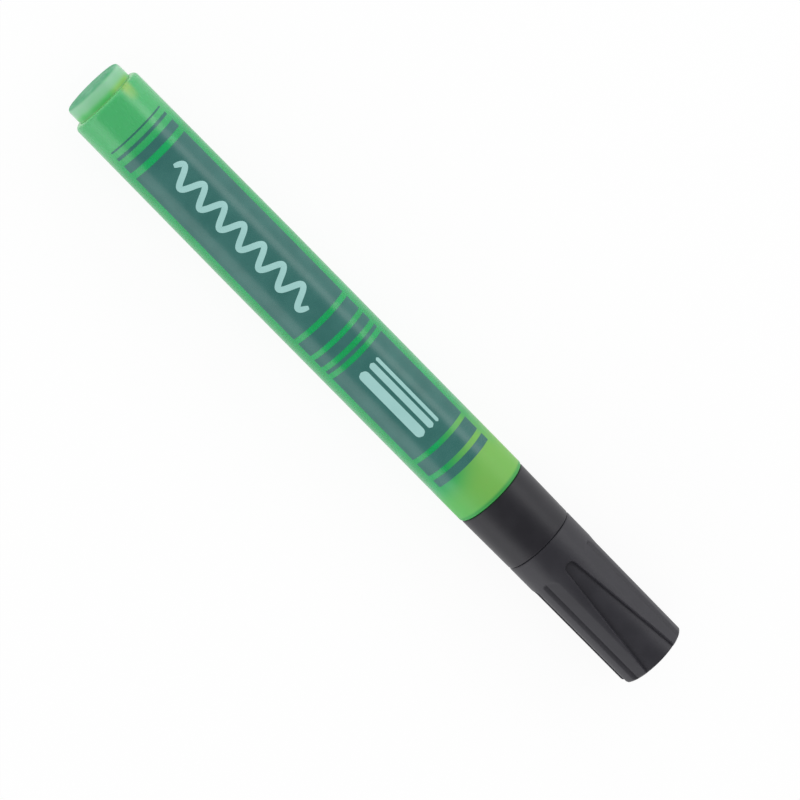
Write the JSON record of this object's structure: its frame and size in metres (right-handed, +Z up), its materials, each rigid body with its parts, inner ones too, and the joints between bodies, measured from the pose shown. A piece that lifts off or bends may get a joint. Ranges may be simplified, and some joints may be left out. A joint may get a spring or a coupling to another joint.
{
  "type": "paint marker",
  "caption": "Valve-action paint marker: translucent paint barrel with a pressed-in rear plug, black collar, sprung fibre nib and a fluted push-on cap.",
  "frame": {"origin": "on the surface that the marker lies on, below the middle of its length", "axes": "+X along the marker towards the closed end of the cap, +Z up, +Y across"},
  "size_m": [0.1406, 0.0144, 0.0145],
  "materials": {
    "barrel_plastic": "translucent green, glossy, lightly frosted inside",
    "plug_plastic": "milky translucent green, satin",
    "black_plastic": "black, satin, moulded",
    "valve_plastic": "natural, semi-gloss",
    "liner_plastic": "natural, matt",
    "seal_rubber": "matt",
    "steel": "polished",
    "nib_fibre": "pressed fibre, matt",
    "paint": "wet, opaque green",
    "print_ink": "dark teal screen print, satin"
  },
  "bodies": {
    "barrel_unit": {"barrel": "barrel_plastic", "rear_plug": "plug_plastic", "front_section": "black_plastic", "sealing_gasket": "seal_rubber", "valve_housing": "valve_plastic", "spring_retainer": "valve_plastic", "valve_spring": "steel", "paint_charge": "paint"},
    "cap": {"cap_shell": "black_plastic", "cap_liner": "liner_plastic"},
    "nib_unit": {"nib": "nib_fibre", "valve_stem": "valve_plastic", "valve_seal": "seal_rubber"},
    "ball_front": {"mixing_ball_front": "steel"},
    "ball_rear": {"mixing_ball_rear": "steel"}
  },
  "joints": [
    {"name": "cap_pull", "type": "slide", "parent": "barrel_unit", "child": "cap", "axis": [1, 0, 0], "range_m": [0, 0.03]},
    {"name": "nib_press", "type": "slide", "parent": "barrel_unit", "child": "nib_unit", "axis": [-1, 0, 0], "range_m": [0, 0.0018], "stiffness_N_per_m": 1200, "deforming": ["valve_spring"]},
    {"name": "ball_front_roll", "type": "slide", "parent": "barrel_unit", "child": "ball_front", "axis": [1, 0, 0], "range_m": [0, 0.0679]},
    {"name": "ball_rear_roll", "type": "slide", "parent": "barrel_unit", "child": "ball_rear", "axis": [1, 0, 0], "range_m": [0, 0.0679]}
  ],
  "couplings": [
    {"joint": "ball_rear_roll", "follows": "ball_front_roll", "ratio": 1}
  ]
}
